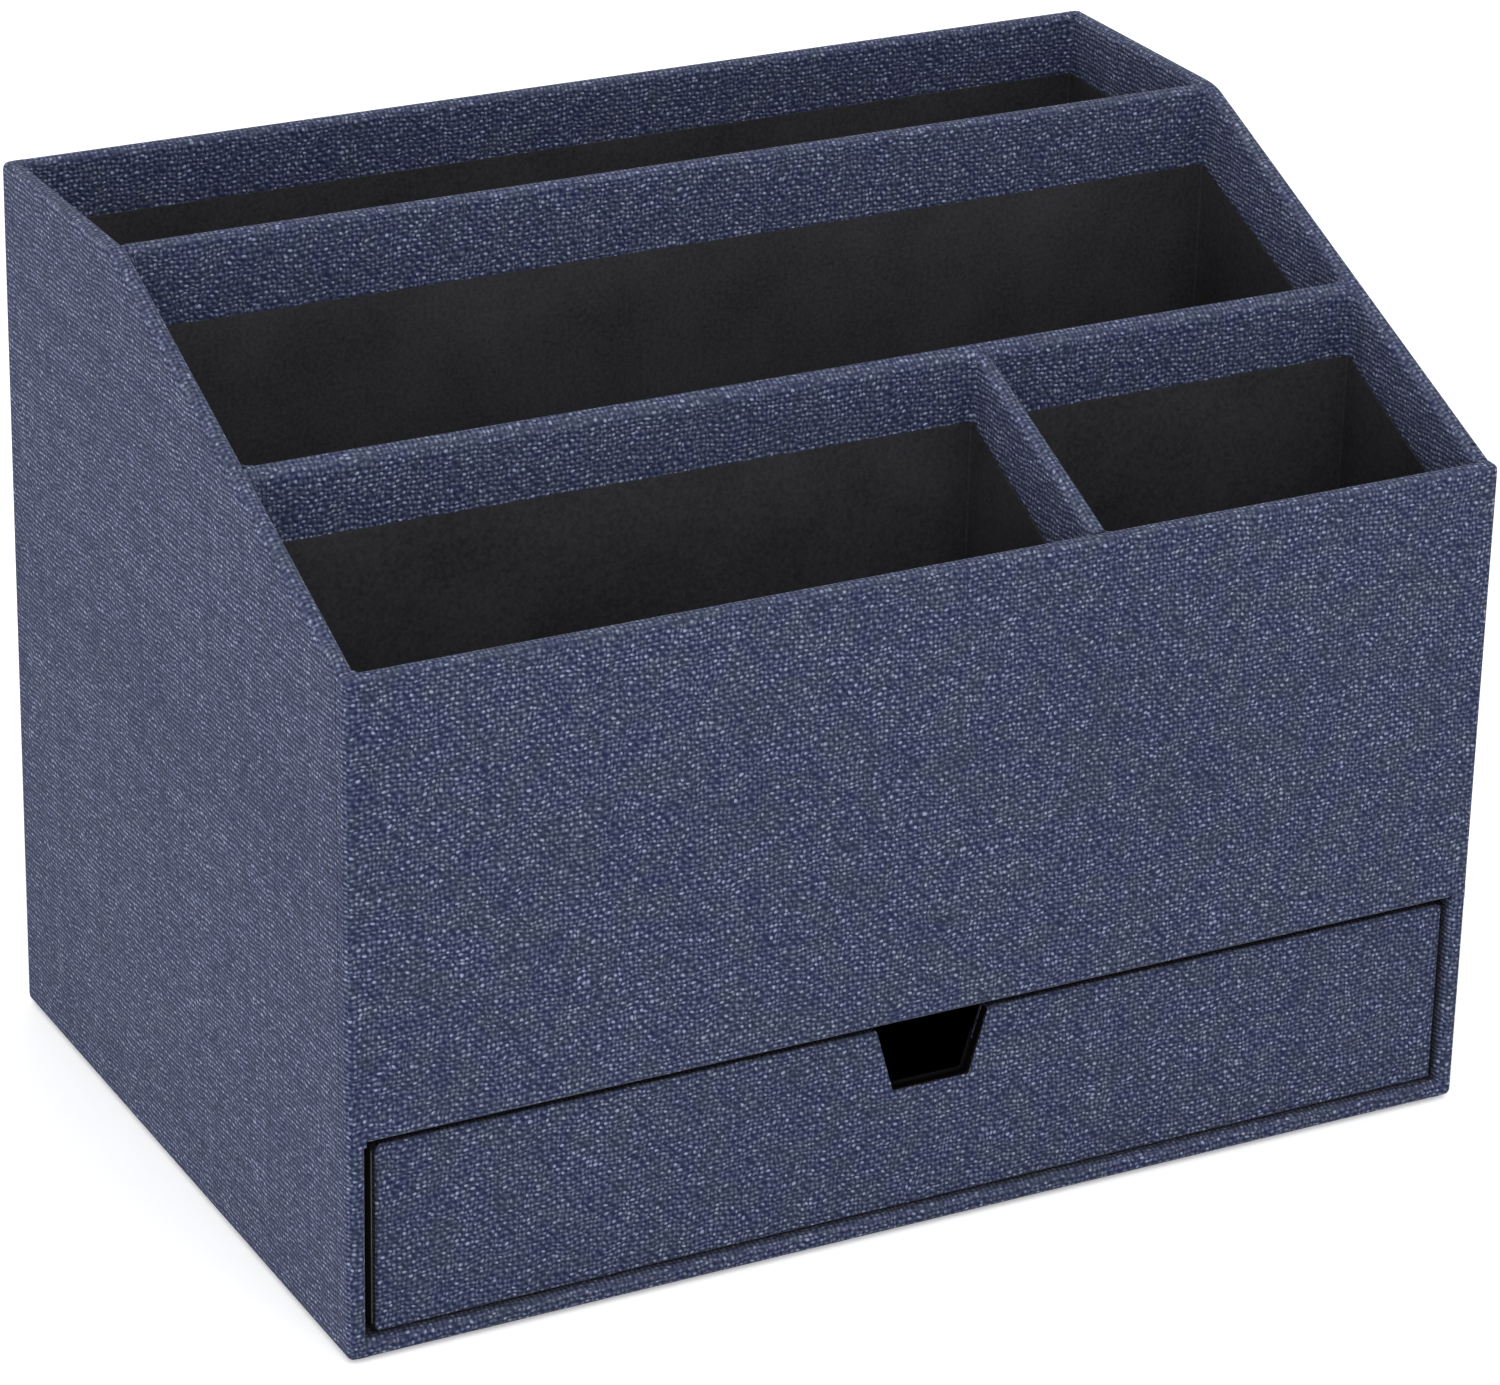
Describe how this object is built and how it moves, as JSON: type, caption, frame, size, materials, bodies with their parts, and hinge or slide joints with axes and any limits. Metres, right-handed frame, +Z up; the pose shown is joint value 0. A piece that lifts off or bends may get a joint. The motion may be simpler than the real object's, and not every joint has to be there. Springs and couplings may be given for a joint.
{
  "type": "desk organizer with drawer",
  "caption": "Canvas-covered board desk organizer: sloping open-topped pockets for papers and stationery above a full-width sliding drawer with a finger notch.",
  "frame": {"origin": "middle of the underside's outline, on the surface the organizer stands on", "axes": "+Z up, the front and its drawer face -Y, +X to the right of someone facing the front"},
  "size_m": [0.33, 0.221, 0.248],
  "materials": {
    "canvas": "plain-weave cotton canvas, slate blue, matte",
    "lining_paper": "black uncoated card and paper, matte",
    "greyboard": "solid grey board, 3 mm, matte",
    "black_board": "black solid board, 2 mm, matte"
  },
  "bodies": {
    "case": {"left_side_cover": "canvas", "right_side_cover": "canvas", "back_cover": "canvas", "front_cover": "canvas", "bottom_edge_cover": "canvas", "rear_divider_cover": "canvas", "middle_divider_cover": "canvas", "short_divider_cover": "canvas", "base_paper": "lining_paper", "rear_pocket_liner": "lining_paper", "middle_pocket_liner": "lining_paper", "left_pocket_liner": "lining_paper", "right_pocket_liner": "lining_paper", "bay_liner": "lining_paper", "left_side_board": "greyboard", "right_side_board": "greyboard", "back_board": "greyboard", "front_board": "greyboard", "bottom_board": "greyboard", "shelf_board": "greyboard", "rear_divider_board": "greyboard", "middle_divider_board": "greyboard", "short_divider_board": "greyboard"},
    "drawer": {"drawer_front_cover": "canvas", "drawer_wrap": "lining_paper", "drawer_liner": "lining_paper", "drawer_front_board": "black_board", "drawer_back_board": "black_board", "drawer_left_board": "black_board", "drawer_right_board": "black_board", "drawer_bottom_board": "black_board"}
  },
  "joints": [
    {"name": "drawer_slide", "type": "slide", "parent": "case", "child": "drawer", "axis": [0, -1, 0], "range_m": [0, 0.16]}
  ]
}
